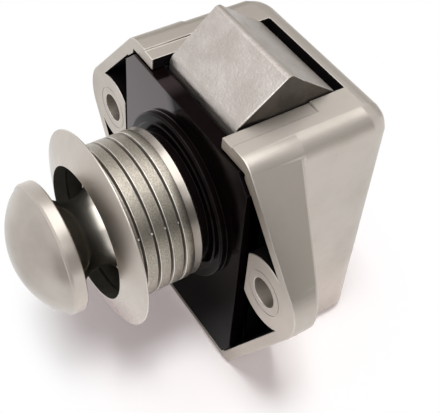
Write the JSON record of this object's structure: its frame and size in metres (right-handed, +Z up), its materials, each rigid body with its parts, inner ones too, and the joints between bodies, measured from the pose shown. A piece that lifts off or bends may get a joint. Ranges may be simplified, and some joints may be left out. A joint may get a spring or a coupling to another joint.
{
  "type": "push button cabinet lock",
  "caption": "Cabinet and drawer push lock: a round knob pops out of a flanged rosette and works a sprung double bevelled bolt in an eared case.",
  "frame": {"origin": "on the knob's axis, in the rim plane of the case that lies against the back of the door", "axes": "-Y points out of the front of the door along the knob, +X to the right ear, +Z up along the bolt's travel"},
  "size_m": [0.0534, 0.0482, 0.0468],
  "materials": {
    "satin_nickel_case": "satin nickel over a zinc casting",
    "satin_nickel": "satin nickel, fine blasted",
    "cast_bolt": "satin, slightly grainy casting",
    "black_plastic": "glossy black moulding",
    "grey_plastic": "low friction moulding",
    "steel": "bright zinc",
    "spring_steel": "drawn wire"
  },
  "bodies": {
    "case": {"case_shell": "satin_nickel_case", "front_plate": "black_plastic", "guide_cage": "grey_plastic", "case_screws": "steel", "return_spring": "spring_steel", "follower_leaf": "spring_steel"},
    "rosette": {"rosette": "satin_nickel"},
    "knob": {"knob": "satin_nickel", "plunger": "black_plastic", "knob_screw": "steel", "ramp_pin": "steel"},
    "slider": {"lift_slider": "grey_plastic", "bolt_spring_left": "spring_steel", "bolt_spring_right": "spring_steel"},
    "bolt": {"bolt": "cast_bolt"},
    "follower": {"heart_follower": "steel"}
  },
  "joints": [
    {"name": "knob_push", "type": "slide", "parent": "case", "child": "knob", "axis": [0, 1, 0], "range_m": [0, 0.0085], "stiffness_N_per_m": 300, "springref_m": -0.006, "deforming": ["return_spring"]},
    {"name": "bolt_lift", "type": "slide", "parent": "case", "child": "slider", "axis": [0, 0, 1], "range_m": [0, 0.004]},
    {"name": "bolt_press", "type": "slide", "parent": "slider", "child": "bolt", "axis": [0, 0, 1], "range_m": [-0.0054, 0], "stiffness_N_per_m": 500, "springref_m": 0.004, "deforming": ["bolt_spring_left", "bolt_spring_right"]},
    {"name": "follower_swing", "type": "hinge", "parent": "case", "child": "follower", "pos_m": [0, 0.0167, 0], "axis": [0, 0, 1], "range_deg": [0, 35]},
    {"name": "rosette_set", "type": "slide", "parent": "case", "child": "rosette", "axis": [0, -1, 0], "range_m": [-0.0014, 0.004]}
  ],
  "couplings": [
    {"joint": "bolt_lift", "follows": "knob_push", "ratio": 0.47059}
  ]
}
